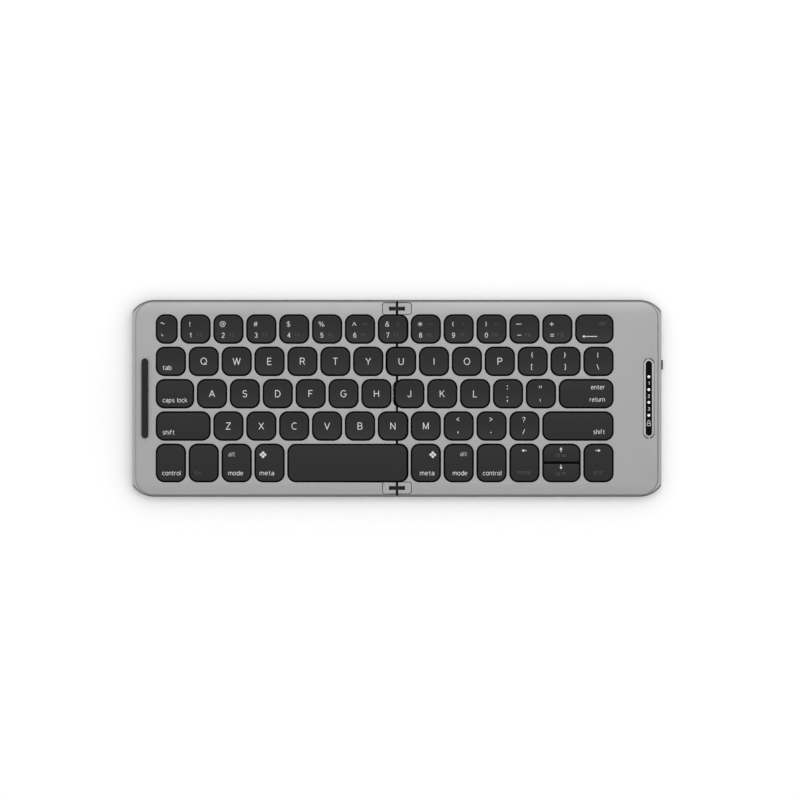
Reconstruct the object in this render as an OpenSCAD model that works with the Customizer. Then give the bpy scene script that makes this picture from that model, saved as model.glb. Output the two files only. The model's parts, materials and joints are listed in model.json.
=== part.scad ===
// Folding keyboard, open flat on a table.
// X runs to the right, Y to the rear, Z up. The origin is on the table under the fold line.

/* [Case] */
// Half of the open keyboard's width
half_w = 152.65; // [152:0.05:153]
// Depth from the front edge to the rear edge
case_d = 113.8; // [113.7:0.1:114.4]
// Radius of the case's corners, in plan
case_r = 15.9; // [15:0.1:17]
// Length of each long edge's end that the corner arc takes up
arc_run = 12.7; // [12:0.1:13.5]
// Height of the deck's top face above the table
deck_z = 6.6; // [6.4:0.1:7]
// Thickness of the deck plate
deck_t = 1.0; // [0.8:0.1:1.1]
// Thickness of the bottom cover's floor
floor_t = 0.8; // [0.7:0.1:0.9]
// How far the rubber feet stand out below the cover
foot_h = 0.6; // [0.5:0.1:0.8]
// Width of the cover's rim at the two ends
rim_end = 1.8; // [1.5:0.1:2]
// Width of the cover's rim along the front and rear
rim_side = 1.1; // [1:0.1:1.3]
// Half of the gap between the two halves
split = 0.45; // [0.4:0.05:0.5]

/* [Keys] */
// Width of one key unit
pitch = 19.0; // [18.9:0.1:19.1]
// Distance between rows
row_pitch = 18.67; // [18.6:0.01:18.7]
// Height of the front row
front_row_h = 24.02; // [23.8:0.01:24.2]
// Half of the deck strip between two keys of a row
web_x = 0.85; // [0.8:0.05:0.9]
// Half of the deck strip between two rows
web_y = 0.9; // [0.85:0.05:0.95]
// Corner radius of a key opening in the deck
opening_r = 5.0; // [4:0.1:5.5]
// Gap round a keycap in its opening
cap_gap = 0.65; // [0.5:0.05:0.7]
// How far a keycap stands above the deck
cap_h = 1.5; // [1.3:0.1:1.5]
// Key travel
travel = 1.2; // [1:0.1:1.3]

/* [Hinge] */
// Distance of each fold axis from the fold line
axis_x = 3.1; // [3.05:0.01:3.15]
// Depth of the fold axes below the deck's top face
axis_drop = 1.4; // [1.35:0.05:1.45]
// Distance of each hinge from the middle of the keyboard
hinge_y = 51.8; // [51.7:0.1:51.9]
// Radius of the hinge links' ends
link_r = 1.3; // [1.25:0.05:1.35]
// Diameter of the hinge pins
pin_d = 1.2; // [1.1:0.05:1.25]

/* [Hidden] */
$fn = 48;
case_half_d = case_d / 2;
deck_half_w = half_w - rim_end;
deck_half_d = case_half_d - rim_side;
deck_r = 9.9;
play = 0.1;

// Heights
cover_z = foot_h;
floor_top = cover_z + floor_t;
deck_under = deck_z - deck_t;
rim_z = deck_z - 0.25;
plate_z = 3.0;
plate_t = 0.4;
film_z = plate_z + plate_t;
film_t = 0.2;
film_top = film_z + film_t;
wall_t = 1.0;

// Keycap heights
cap_base = deck_z - 0.4;
cap_top = deck_z + cap_h;
cap_edge_h = 0.5;
cap_edge_w = 0.3;
cap_wall = 1.1;
cap_hollow = cap_top - 1.0;
cap_r = opening_r - cap_gap;
// The split walls stay below a pressed keycap
wall_top = cap_base - travel - 0.6;

// Key widths in units, row by row from the rear, left to right
KEY_UNITS = [
    [0.75, each [for (i = [1:12]) 1], 1.25],
    [for (i = [1:14]) 1],
    [1.25, each [for (i = [1:11]) 1], 1.75],
    [1.75, each [for (i = [1:10]) 1], 2.25],
    [1, 1, 1, 1, 3.75, 1, 1, 1, 1, 1.25, 1]
];
// How many keys of each row belong to the left half
LEFT_KEYS = [8, 7, 7, 7, 5];
FRONT_ROW = 4;
SPACE = 4;
LEFT_SHIFT = 0;
RIGHT_SHIFT = 11;
ENTER = 12;
ARROW_PAIR = 9;
row_units = 14;
field_x0 = -row_units * pitch / 2 - 7.1;
field_y1 = (3 + 1) * row_pitch / 2 + front_row_h / 2;

function sum_to(v, n, i = 0) = i >= n ? 0 : v[i] + sum_to(v, n, i + 1);
function cell_x0(r, i) = field_x0 + pitch * sum_to(KEY_UNITS[r], i);
function cell_x1(r, i) = cell_x0(r, i) + pitch * KEY_UNITS[r][i];
function cell_y1(r) = field_y1 - r * row_pitch;
function cell_y0(r) = cell_y1(r) - (r == FRONT_ROW ? front_row_h : row_pitch);
function open_x0(r, i) = cell_x0(r, i) + web_x;
function open_x1(r, i) = cell_x1(r, i) - web_x;
function open_y0(r) = cell_y0(r) + web_y;
function open_y1(r) = cell_y1(r) - web_y;
function row_mid(r) = (cell_y0(r) + cell_y1(r)) / 2;
function key_mid(r, i) = (cell_x0(r, i) + cell_x1(r, i)) / 2;
function row_keys(r, side) = side < 0 ? [0:LEFT_KEYS[r] - 1] : [LEFT_KEYS[r]:len(KEY_UNITS[r]) - 1];

// Gap between the stacked up and down keycaps
pair_gap = 0.9;
pair_y = -37.15;
pair_r = 3.5;

// Notches that let the other half's overhanging keys swing past
notch_gap = 0.25;
home_notch_gap = 0.9;
right_notch_x = 6.3 + notch_gap;
left_notches = [[1, -6.3 - notch_gap], [2, -1.5 - home_notch_gap]];
right_notches = [[0, right_notch_x], [3, right_notch_x], [4, right_notch_x]];

// Key mechanism
ring_x = 8.4;
ring_y = 10.0;
short_ring_x = 6.8;
short_ring_y = 8.6;
rail = 0.8;
ring_t = 0.5;
dome_r = 2.5;
dome_tip_r = 1.3;
lift_play = 0.08;
mech_limit = 5.65;
space_offset = 14;

// Hinge
axis_z = deck_z - axis_drop;
bracket_x0 = 0.58;
bracket_x1 = 8.2;
bracket_d = 6.5;
bracket_gap = 0.2;
bracket_r = 1.3;
slot_w = 2.2;
slot_gap = 0.2;
link_t = 0.5;
gear_t = 0.9;
gear_gap = 0.05;
idler_x = axis_x / 3;
idler_pin_d = 0.7;
running = 0.03;
teeth = 8;
gear_root_r = 0.78;
gear_tip_r = 1.22;
tooth_root_w = 0.40;
tooth_tip_w = 0.15;

// Fastenings
boss_y = 52.2;
boss_d = 3.6;
screw_d = 1.2;
screw_hole_d = 1.5;
head_d = 2.8;
head_t = 0.5;
recess_l = 1.5;
recess_w = 0.35;
recess_depth = 0.3;
boss_x_left = [-24, -76, -130];
boss_x_right = [24, 76, 128];
bracket_screw_x = 6.6;
bracket_screw_top = 3.2;
deck_screw_top = 4.8;

// Feet and magnets
foot_d = 8;
foot_recess = 0.3;
foot_x = [20, 138];
foot_y = 44;
magnet_d = 5;
magnet_t = 1.5;
magnet_x = 145.5;
magnet_y = 46;

// Bumper strip and indicator window at the two ends
bumper_x = -145.6;
bumper_w = 3.5;
bumper_l = 45.6;
bumper_h = 3.6;
bumper_recess = 0.4;
window_x = 145.5;
window_w = 3.5;
window_l = 43.1;
ring_w = 5.3;
ring_l = 46.2;
ring_depth = 0.6;
window_flange = 0.6;
led_y = [12.5, 5.06, -2.34, -9.8];

// Electronics in the right end
board_x0 = 141.2;
board_x1 = 150.4;
board_y0 = -26;
board_y1 = 42;
board_z = 2.0;
board_t = 0.8;
board_top = board_z + board_t;
cell_pack = [128.2, -48, 11.4, 76, 3.6];
socket_y = 34;
socket_w = 9.0;
socket_h = 3.2;
socket_l = 7.0;
socket_z = board_z + socket_h / 2;
socket_x1 = half_w - 0.25;
switch_y = 19.4;
switch_l = 5.6;
switch_travel = 2.0;
switch_out = 1.0;
switch_z0 = 2.7;
switch_h = 2.0;
switch_flange_x = 149.0;
switch_flange = 1.0;

// Ribbon between the halves: it runs low, so that it wraps round the split's edges when they fold
ribbon_w = 1.8;
ribbon_t = 0.15;
ribbon_z = 2.1;
ribbon_half_l = 9.2;
ribbon_y = cell_y0(2);
ribbon_way_w = 2.4;
ribbon_way_z = 1.9;
ribbon_way_l = 10;

ALUMINIUM = "#a9a9ab";
BLACK = "#2a2a2c";
CAP = "#37373a";
STEEL = "#8c9094";

// A rounded rectangle between two corners
module rounded(x0, y0, x1, y1, r) {
    translate([x0 + r, y0]) square([x1 - x0 - 2 * r, y1 - y0]);
    translate([x0, y0 + r]) square([x1 - x0, y1 - y0 - 2 * r]);
    for (x = [x0 + r, x1 - r], y = [y0 + r, y1 - r]) translate([x, y]) circle(r);
}

module stadium(x, y, w, l) {
    rounded(x - w / 2, y - l / 2, x + w / 2, y + l / 2, w / 2 - 0.001);
}

module prism(z0, z1) {
    translate([0, 0, z0]) linear_extrude(z1 - z0) children();
}

// Everything on one side of the fold, from the given distance outward
module beyond(side, x) {
    translate([side > 0 ? x : -x - 200, -100]) square([200, 200]);
}

// The case's plan: round corners cut off flat by the two ends
module case_plan() {
    w = half_w - arc_run + case_r;
    intersection() {
        translate([-half_w, -case_half_d]) square([2 * half_w, case_d]);
        rounded(-w, -case_half_d, w, case_half_d, case_r);
    }
}

module deck_plan(grow) {
    w = deck_half_w + grow;
    d = deck_half_d + grow;
    rounded(-w, -d, w, d, deck_r + grow);
}

module key_opening(r, i) {
    rounded(open_x0(r, i), open_y0(r), open_x1(r, i), open_y1(r), opening_r);
}

module key_openings(side) {
    for (r = [0:FRONT_ROW]) for (i = row_keys(r, side)) key_opening(r, i);
}

// The overhanging keys' way through the given half
module notches(side) {
    for (n = side < 0 ? left_notches : right_notches)
        rounded(min(n[1], -side * 20), open_y0(n[0]), max(n[1], -side * 20), open_y1(n[0]), opening_r);
}

// The same way with the walls beside it
module notch_walls(side, t) {
    for (n = side < 0 ? left_notches : right_notches) {
        x = n[1] + side * t;
        translate([min(x, -side * 20), open_y0(n[0]) - t])
            square([abs(x) + 20, open_y1(n[0]) - open_y0(n[0]) + 2 * t]);
    }
}

module half_plan(side) {
    difference() {
        intersection() {
            case_plan();
            beyond(side, split);
        }
        notches(side);
    }
}

function boss_x(side) = side < 0 ? boss_x_left : boss_x_right;

module at_bosses(side) {
    for (x = boss_x(side), y = [-boss_y, boss_y]) translate([x, y, 0]) children();
}

module at_bracket_screws(side) {
    for (y = [-hinge_y, hinge_y]) translate([side * bracket_screw_x, y, 0]) children();
}

module at_feet(side) {
    for (x = foot_x, y = [-foot_y, foot_y]) translate([side * x, y, 0]) children();
}

module hole(d, z0, z1) {
    translate([0, 0, z0]) cylinder(d = d, h = z1 - z0);
}

// A bar of stadium section along X, from x0 to x1
module bar_x(x0, x1, y, z, w, h) {
    translate([x0, y, z]) rotate([90, 0, 90]) linear_extrude(x1 - x0)
        rounded(-w / 2, -h / 2, w / 2, h / 2, h / 2 - 0.001);
}

module bottom_cover(side) {
    difference() {
        prism(cover_z, rim_z) half_plan(side);
        difference() {
            prism(floor_top, deck_z) intersection() {
                deck_plan(play);
                beyond(side, split + wall_t);
            }
            prism(floor_top, wall_top) notch_walls(side, wall_t);
            // Ribs that carry the key plate
            for (r = [0:FRONT_ROW - 1]) translate([side > 0 ? 3 : -138, cell_y0(r) - 0.5, floor_top])
                cube([side > 0 ? 121 : 135, 1, plate_z - floor_top]);
        }
        // The ribbon's way through the split wall and the ribs
        translate([-ribbon_way_l, ribbon_y - ribbon_way_w / 2, ribbon_way_z])
            cube([2 * ribbon_way_l, ribbon_way_w, wall_top - ribbon_way_z + 1]);
        // Room over the split wall
        prism(wall_top, deck_z) intersection() {
            deck_plan(play);
            beyond(side, split - 0.1);
        }
        // Hinge bracket seats
        for (y = [-hinge_y, hinge_y])
            translate([min(0, side * (bracket_x1 + 0.2)), y - bracket_d / 2 - 0.2, floor_top])
                cube([bracket_x1 + 0.2, bracket_d + 0.4, deck_z]);
        at_bosses(side) screw_way();
        at_bracket_screws(side) screw_way();
        at_feet(side) hole(foot_d + 0.2, cover_z - 1, cover_z + foot_recess);
        if (side > 0) end_wall_openings();
    }
}

module screw_way() {
    hole(screw_hole_d, cover_z - 1, floor_top + 1);
    hole(head_d + 0.2, cover_z - 1, cover_z + head_t);
}

// The charging socket's opening and the switch's slot in the right end
module end_wall_openings() {
    bar_x(deck_half_w - 2, half_w + 1, socket_y, socket_z, socket_w + 0.4, socket_h + 0.4);
    translate([deck_half_w - 2, switch_y - switch_l / 2 - switch_travel - 0.3, switch_z0 - 0.3])
        cube([6, switch_l + switch_travel + 0.6, switch_h + 0.6]);
}

module deck(side) {
    difference() {
        union() {
            prism(deck_under, deck_z) difference() {
                intersection() {
                    deck_plan(0);
                    beyond(side, split);
                }
                key_openings(side);
                notches(side);
                for (y = [-hinge_y, hinge_y]) bracket_plan(side, y, bracket_gap);
            }
            at_bosses(side) hole(boss_d, floor_top, deck_under);
        }
        at_bosses(side) hole(screw_d, floor_top - 1, deck_screw_top);
        if (side > 0) {
            prism(deck_z - ring_depth, deck_z + 1) stadium(window_x, 0, ring_w, ring_l);
            prism(deck_under - 1, deck_z) stadium(window_x, 0, window_w + 0.2, window_l + 0.2);
        } else {
            prism(deck_z - bumper_recess, deck_z + 1) stadium(bumper_x, 0, bumper_w + 0.1, bumper_l + 0.1);
        }
    }
}

module key_plate_plan(side, d) {
    difference() {
        translate([side > 0 ? split + wall_t + 0.3 + d : -141 + d, -48 + d])
            square([(side > 0 ? 126.4 : 141) - split - wall_t - 0.3 - 2 * d, 96 - 2 * d]);
        notch_walls(side, wall_t + 0.3 + d);
    }
}

module key_plate(side) {
    prism(plate_z, plate_z + plate_t) difference() {
        key_plate_plan(side, 0);
        translate([side * (ribbon_half_l - ribbon_t / 2) - 0.5, ribbon_y - ribbon_way_w / 2])
            square([1, ribbon_way_w]);
    }
}

module membrane(side) {
    prism(film_z, film_top) {
        key_plate_plan(side, 0.6);
        // Tail to the main board
        if (side > 0) translate([125, 31]) square([19, 9]);
    }
}

// Where the lift mechanisms stand under a key: its middle, kept clear of the split
function mech_x(side, r, i) =
    let (m = key_mid(r, i))
    r == FRONT_ROW && i == SPACE ? [m - space_offset, m + space_offset]
    : [side < 0 ? min(m, -mech_limit) : max(m, mech_limit)];

// A key narrower than one unit, or one whose middle is over the split, has a short lift
function short_lift(r, i) = KEY_UNITS[r][i] < 1 || abs(key_mid(r, i)) < mech_limit;

module at_mechanisms(side) {
    for (r = [0:FRONT_ROW]) for (i = row_keys(r, side)) {
        $short = short_lift(r, i);
        if (!(r == FRONT_ROW && i == ARROW_PAIR))
            for (x = mech_x(side, r, i)) translate([x, row_mid(r), 0]) children();
    }
}

// Two rings that cross like scissors and carry a keycap level
module scissor(dx, dy) {
    rise = cap_hollow - lift_play - film_top;
    tilt = asin((rise - 2 * ring_t) / dx);
    for (k = [0, 1]) {
        w = dy - k * 2 * (rail + 0.2);
        translate([0, 0, film_top + rise / 2]) rotate([0, k == 0 ? tilt : -tilt, 0]) difference() {
            cube([dx, w, ring_t], center = true);
            cube([dx - 2 * rail, w - 2 * rail, 1], center = true);
        }
    }
}

module scissors(side) {
    at_mechanisms(side) scissor($short ? short_ring_x : ring_x, $short ? short_ring_y : ring_y);
    if (side > 0) for (s = [-1, 1])
        translate([key_mid(FRONT_ROW, ARROW_PAIR), pair_mid(s), 0]) scissor(ring_x, 7.2);
}

// The middle of the up (1) or down (-1) keycap
function pair_mid(s) = s > 0
    ? (open_y1(FRONT_ROW) - cap_gap + pair_y + pair_gap / 2) / 2
    : (open_y0(FRONT_ROW) + cap_gap + pair_y - pair_gap / 2) / 2;

module dome(r) {
    translate([0, 0, film_top])
        cylinder(r1 = r, r2 = r * dome_tip_r / dome_r, h = cap_hollow - lift_play - film_top);
}

module domes(side) {
    for (r = [0:FRONT_ROW]) for (i = row_keys(r, side)) {
        if (r == FRONT_ROW && i == ARROW_PAIR)
            for (s = [-1, 1]) translate([key_mid(r, i), pair_mid(s), 0]) dome(1.3);
        else
            translate([r == FRONT_ROW && i == SPACE ? key_mid(r, i) : mech_x(side, r, i)[0], row_mid(r), 0])
                dome(dome_r);
    }
}

// A bent wire that keeps a wide key level
module stabiliser(x, y, span) {
    d = 0.8;
    reach = 7;
    z1 = cap_hollow - 0.1 - d / 2;
    z0 = film_top + 0.1 + d / 2;
    translate([x - span, y + 5.9, z1]) rotate([0, 90, 0]) cylinder(d = d, h = 2 * span);
    for (s = [-1, 1]) translate([x + s * span, y + 5.9, z1]) {
        sphere(d = d);
        rotate([90 + atan((z1 - z0) / reach), 0, 0]) cylinder(d = d, h = reach);
    }
}

module stabilisers(side) {
    if (side < 0) {
        stabiliser(key_mid(FRONT_ROW, SPACE), row_mid(FRONT_ROW), 22);
        stabiliser(key_mid(3, LEFT_SHIFT), row_mid(3), 10);
    } else {
        stabiliser(key_mid(2, ENTER), row_mid(2), 10);
        stabiliser(key_mid(3, RIGHT_SHIFT), row_mid(3), 14);
    }
}

module bracket_plan(side, y, grow) {
    x1 = bracket_x1 + grow;
    intersection() {
        rounded(-x1, y - bracket_d / 2 - grow, x1, y + bracket_d / 2 + grow, bracket_r + grow);
        beyond(side, grow > 0 ? 0 : bracket_x0);
    }
}

module pin_way(x, y, d, l) {
    translate([x, y + l / 2, axis_z]) rotate([90, 0, 0]) cylinder(d = d, h = l);
}

module hinge_brackets(side) {
    slot_l = axis_x + link_r + slot_gap;
    for (y = [-hinge_y, hinge_y]) difference() {
        prism(floor_top, deck_z) bracket_plan(side, y, 0);
        translate([min(0, side * slot_l), y - slot_w / 2, axis_z - link_r - slot_gap])
            cube([slot_l, slot_w, deck_z]);
        pin_way(side * axis_x, y, pin_d, bracket_d + 1);
        translate([side * bracket_screw_x, y, 0]) hole(screw_d, floor_top - 1, bracket_screw_top + 0.4);
    }
}

// A gear outline: a root circle with tapered teeth
module gear_plan(phase) {
    circle(gear_root_r);
    for (k = [0:teeth - 1]) rotate(phase + k * 360 / teeth) polygon([
        [gear_root_r - 0.15, -tooth_root_w / 2], [gear_tip_r, -tooth_tip_w / 2],
        [gear_tip_r, tooth_tip_w / 2], [gear_root_r - 0.15, tooth_root_w / 2]
    ]);
}

module gear(x, y, phase, bore) {
    translate([x, y, axis_z]) rotate([90, 0, 0]) linear_extrude(gear_t, center = true) difference() {
        gear_plan(phase);
        if (bore > 0) circle(d = bore);
    }
}

half_tooth = 180 / teeth;

// Each pin is one piece with the fixed gear in its middle
module geared_pins(side) {
    for (y = [-hinge_y, hinge_y]) {
        pin_way(side * axis_x, y, pin_d, bracket_d - 0.4);
        gear(side * axis_x, y, side > 0 ? 180 : half_tooth, 0);
    }
}

module idler_gears(side) {
    for (y = [-hinge_y, hinge_y])
        gear(side * idler_x, y, side > 0 ? half_tooth : 0, idler_pin_d + 2 * running);
}

// Two plates a hinge, joined by the idlers' pins
module hinge_links() {
    for (y = [-hinge_y, hinge_y]) {
        for (s = [-1, 1]) translate([0, y + s * (gear_t / 2 + gear_gap + link_t / 2), axis_z])
            rotate([90, 0, 0]) linear_extrude(link_t, center = true) difference() {
                stadium_x(2 * (axis_x + link_r), 2 * link_r);
                for (x = [-axis_x, axis_x]) translate([x, 0]) circle(d = pin_d + 2 * running);
            }
        for (x = [-idler_x, idler_x]) pin_way(x, y, idler_pin_d, gear_t + 2 * gear_gap + 0.02);
    }
}

module stadium_x(l, h) {
    rounded(-l / 2, -h / 2, l / 2, h / 2, h / 2 - 0.001);
}

module feet(side) {
    at_feet(side) hole(foot_d, 0, cover_z + foot_recess);
}

module screw(top) {
    difference() {
        hole(head_d, cover_z + 0.05, cover_z + head_t);
        for (a = [0, 90]) rotate(a) translate([-recess_l / 2, -recess_w / 2, 0])
            cube([recess_l, recess_w, cover_z + 0.05 + recess_depth]);
    }
    hole(screw_d, cover_z + head_t, top);
}

module screws(side) {
    at_bosses(side) screw(deck_screw_top);
    at_bracket_screws(side) screw(bracket_screw_top);
}

module magnets(side) {
    for (y = [-magnet_y, magnet_y]) translate([side * magnet_x, y, 0])
        hole(magnet_d, deck_under - magnet_t, deck_under);
}

module battery() {
    c = cell_pack;
    prism(floor_top, floor_top + c[4]) rounded(c[0], c[1], c[0] + c[2], c[1] + c[3], 1.0);
}

module main_board() {
    difference() {
        translate([board_x0, board_y0, board_z]) cube([board_x1 - board_x0, board_y1 - board_y0, board_t]);
        translate([socket_x1 - socket_l - 0.3, socket_y - socket_w / 2 - 0.2, 0])
            cube([socket_l + 2, socket_w + 0.4, deck_z]);
        // Room for the sliding switch
        translate([switch_flange_x - 0.15, switch_y - switch_l / 2 - switch_flange - switch_travel - 0.4, 0])
            cube([3, switch_l + 2 * switch_flange + switch_travel + 0.8, deck_z]);
    }
    // Standoffs, controller, connector, lamps and the switch's body
    for (y = [board_y0 + 3, 8, board_y1 - 3]) translate([board_x0 + 2, y, 0]) hole(2.4, floor_top, board_z);
    translate([board_x0 + 1, -22, board_top]) cube([6, 6, 0.9]);
    translate([board_x0 + 0.4, 31, board_top]) cube([2.2, 9, film_z - board_top]);
    for (y = led_y) translate([window_x - 0.8, y - 0.4, board_top]) cube([1.6, 0.8, 0.8]);
    difference() {
        translate([146.6, 13.4, board_top]) cube([2.1, 10.6, 2.0]);
        translate([147.4, 14.6, switch_z0 + 0.4]) cube([2, 8.2, 1.2]);
    }
}

module charging_socket() {
    x0 = socket_x1 - socket_l;
    difference() {
        bar_x(x0, socket_x1, socket_y, socket_z, socket_w, socket_h);
        bar_x(x0 + 0.8, socket_x1 + 1, socket_y, socket_z, socket_w - 0.7, socket_h - 0.7);
    }
    translate([x0 + 0.7, socket_y - 3.35, socket_z - 0.35]) cube([5.2, 6.7, 0.7]);
}

module indicator_window() {
    prism(deck_under - window_flange, deck_under) stadium(window_x, 0, ring_w, ring_l);
    prism(deck_under, deck_z - ring_depth) stadium(window_x, 0, window_w, window_l);
}

module power_switch() {
    y0 = switch_y - switch_l / 2;
    translate([switch_flange_x, y0, switch_z0])
        cube([half_w + switch_out - switch_flange_x, switch_l, switch_h]);
    translate([switch_flange_x, y0 - switch_flange, switch_z0 - 0.5])
        cube([1.5, switch_l + 2 * switch_flange, switch_h + 0.9]);
    translate([147.8, switch_y + 1.0, switch_z0 + 0.6]) cube([1.3, 1.4, 0.8]);
}

module bumper_strip() {
    prism(deck_z - bumper_recess, deck_z + bumper_h) stadium(bumper_x, 0, bumper_w, bumper_l);
}

// A flat strip under the key plates, bent up to a film at each end
module ribbon_cable() {
    y0 = ribbon_y - ribbon_w / 2;
    translate([-ribbon_half_l, y0, ribbon_z]) cube([2 * ribbon_half_l, ribbon_w, ribbon_t]);
    for (x = [-ribbon_half_l, ribbon_half_l - ribbon_t])
        translate([x, y0, ribbon_z]) cube([ribbon_t, ribbon_w, film_z - ribbon_z]);
}

// A hollow keycap that fills the given opening
module cap_in(x0, y0, x1, y1, r) {
    g = cap_gap;
    e = g + cap_edge_w;
    w = g + cap_wall;
    difference() {
        union() {
            prism(cap_base, cap_top - cap_edge_h) rounded(x0 + g, y0 + g, x1 - g, y1 - g, r);
            prism(cap_top - cap_edge_h, cap_top)
                rounded(x0 + e, y0 + e, x1 - e, y1 - e, r - cap_edge_w);
        }
        prism(cap_base - 1, cap_hollow) rounded(x0 + w, y0 + w, x1 - w, y1 - w, r - cap_wall + cap_gap);
    }
}

module key(r, i) {
    color(CAP) cap_in(open_x0(r, i), open_y0(r), open_x1(r, i), open_y1(r), cap_r);
}

module keys(r, first, last) {
    for (i = [first:last]) key(r, i);
}

// The up (1) or down (-1) keycap of the stacked pair
module pair_key(s) {
    half = pair_gap / 2 - cap_gap;
    color(CAP) cap_in(
        open_x0(FRONT_ROW, ARROW_PAIR), s > 0 ? pair_y + half : open_y0(FRONT_ROW),
        open_x1(FRONT_ROW, ARROW_PAIR), s > 0 ? open_y1(FRONT_ROW) : pair_y - half, pair_r);
}

color(ALUMINIUM) bottom_cover(1);  // right_bottom_cover
color(ALUMINIUM) deck(1);  // right_deck
color(STEEL) key_plate(1);  // right_key_plate
color(BLACK) membrane(1);  // right_membrane
color("#d9d9d6") scissors(1);  // right_scissors
color("#c9d2d6") domes(1);  // right_domes
color(STEEL) stabilisers(1);  // right_stabilisers
color("#b6b6b8") hinge_brackets(1);  // right_hinge_brackets
color(STEEL) geared_pins(1);  // right_geared_pins
color(BLACK) feet(1);  // right_feet
color(STEEL) screws(1);  // right_screws
color("#b9bcc0") magnets(1);  // right_magnets
color("#c8cbd0") battery();
color("#1f5a3a") main_board();
color("#c0c2c5") charging_socket();
color("#101012") indicator_window();
color("#515154") power_switch();
color("#3a3b3d") ribbon_cable();
color(ALUMINIUM) bottom_cover(-1);  // left_bottom_cover
color(ALUMINIUM) deck(-1);  // left_deck
color(STEEL) key_plate(-1);  // left_key_plate
color(BLACK) membrane(-1);  // left_membrane
color("#d9d9d6") scissors(-1);  // left_scissors
color("#c9d2d6") domes(-1);  // left_domes
color(STEEL) stabilisers(-1);  // left_stabilisers
color("#b6b6b8") hinge_brackets(-1);  // left_hinge_brackets
color(STEEL) geared_pins(-1);  // left_geared_pins
color(BLACK) feet(-1);  // left_feet
color(STEEL) screws(-1);  // left_screws
color("#b9bcc0") magnets(-1);  // left_magnets
color(BLACK) bumper_strip();
color("#3a3b3d") hinge_links();
color("#9a9c9f") idler_gears(1);  // right_idler_gears
color("#9a9c9f") idler_gears(-1);  // left_idler_gears
keys(0, 0, 7);  // number_keys_left
keys(0, 8, 12);  // number_keys_right
key(0, 13);  // backspace_key
key(1, 0);  // tab_key
keys(1, 1, 6);  // top_letter_keys_left
keys(1, 7, 13);  // top_letter_keys_right
key(2, 0);  // caps_lock_key
keys(2, 1, 6);  // home_row_keys_left
keys(2, 7, 11);  // home_row_keys_right
key(2, ENTER);  // enter_key
key(3, LEFT_SHIFT);  // left_shift_key
keys(3, 1, 6);  // lower_letter_keys_left
keys(3, 7, 10);  // lower_letter_keys_right
key(3, RIGHT_SHIFT);  // right_shift_key
key(FRONT_ROW, 0);  // left_ctrl_key
key(FRONT_ROW, 1);  // fn_key
key(FRONT_ROW, 2);  // left_alt_key
key(FRONT_ROW, 3);  // left_meta_key
key(FRONT_ROW, SPACE);  // space_bar
key(FRONT_ROW, 5);  // right_meta_key
key(FRONT_ROW, 6);  // right_alt_key
key(FRONT_ROW, 7);  // right_ctrl_key
key(FRONT_ROW, 8);  // arrow_left_key
pair_key(1);  // arrow_up_key
pair_key(-1);  // arrow_down_key
key(FRONT_ROW, 10);  // arrow_right_key
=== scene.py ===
import json
import math

import bmesh
import bpy
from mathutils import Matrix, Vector

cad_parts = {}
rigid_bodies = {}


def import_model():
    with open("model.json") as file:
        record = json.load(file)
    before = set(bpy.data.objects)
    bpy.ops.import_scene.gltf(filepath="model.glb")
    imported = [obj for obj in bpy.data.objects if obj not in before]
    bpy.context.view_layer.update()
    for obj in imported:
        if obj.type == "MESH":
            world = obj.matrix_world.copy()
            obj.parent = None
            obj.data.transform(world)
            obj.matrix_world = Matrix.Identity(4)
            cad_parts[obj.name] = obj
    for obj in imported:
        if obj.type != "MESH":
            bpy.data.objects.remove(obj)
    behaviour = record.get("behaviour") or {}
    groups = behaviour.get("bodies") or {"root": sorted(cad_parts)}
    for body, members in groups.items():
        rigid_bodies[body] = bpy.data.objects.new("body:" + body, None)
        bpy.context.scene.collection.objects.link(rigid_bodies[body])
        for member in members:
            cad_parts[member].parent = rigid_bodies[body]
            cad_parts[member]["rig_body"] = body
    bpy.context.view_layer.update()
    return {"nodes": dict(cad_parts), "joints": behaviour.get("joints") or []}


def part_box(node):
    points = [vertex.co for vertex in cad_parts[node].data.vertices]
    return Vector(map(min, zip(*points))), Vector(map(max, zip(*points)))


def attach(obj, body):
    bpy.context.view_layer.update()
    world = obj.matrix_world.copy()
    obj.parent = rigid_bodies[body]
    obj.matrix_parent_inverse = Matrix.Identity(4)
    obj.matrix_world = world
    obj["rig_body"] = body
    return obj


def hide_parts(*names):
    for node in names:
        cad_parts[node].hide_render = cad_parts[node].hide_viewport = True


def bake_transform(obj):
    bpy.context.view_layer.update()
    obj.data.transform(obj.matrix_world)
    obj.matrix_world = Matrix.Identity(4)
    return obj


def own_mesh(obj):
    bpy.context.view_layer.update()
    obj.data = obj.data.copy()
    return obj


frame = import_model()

cadNodes = frame["nodes"]
mm = 0.001
near = 0.01 * mm  # places closer than this count as one
weldReach = 0.002 * mm
flatAngle, shadeAngle, sharpAngle = 0.4, 30, 35  # degrees between faces: taken as one, shaded as one, rounded
level, slanted = 0.9, 0.3  # a normal's least share along an axis for a face that lies across it, or well off it
sides = {"left": -1, "right": 1}


# small helpers
def deselectAll():
    bpy.ops.object.select_all(action="DESELECT")


def makeActive(obj):
    deselectAll()
    obj.select_set(True)
    bpy.context.view_layer.objects.active = obj


def startEdit(obj, mode="VERT"):
    makeActive(obj)
    bpy.ops.object.mode_set(mode="EDIT")
    bpy.ops.mesh.select_mode(type=mode)
    bpy.ops.mesh.select_all(action="DESELECT")


def endEdit():
    bpy.ops.object.mode_set(mode="OBJECT")


def pickAll():
    bpy.ops.mesh.select_all(action="SELECT")


def pickFaces(obj, test):
    bm = bmesh.from_edit_mesh(obj.data)
    for f in bm.faces:
        f.select_set(test(f))
    bmesh.update_edit_mesh(obj.data)


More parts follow.
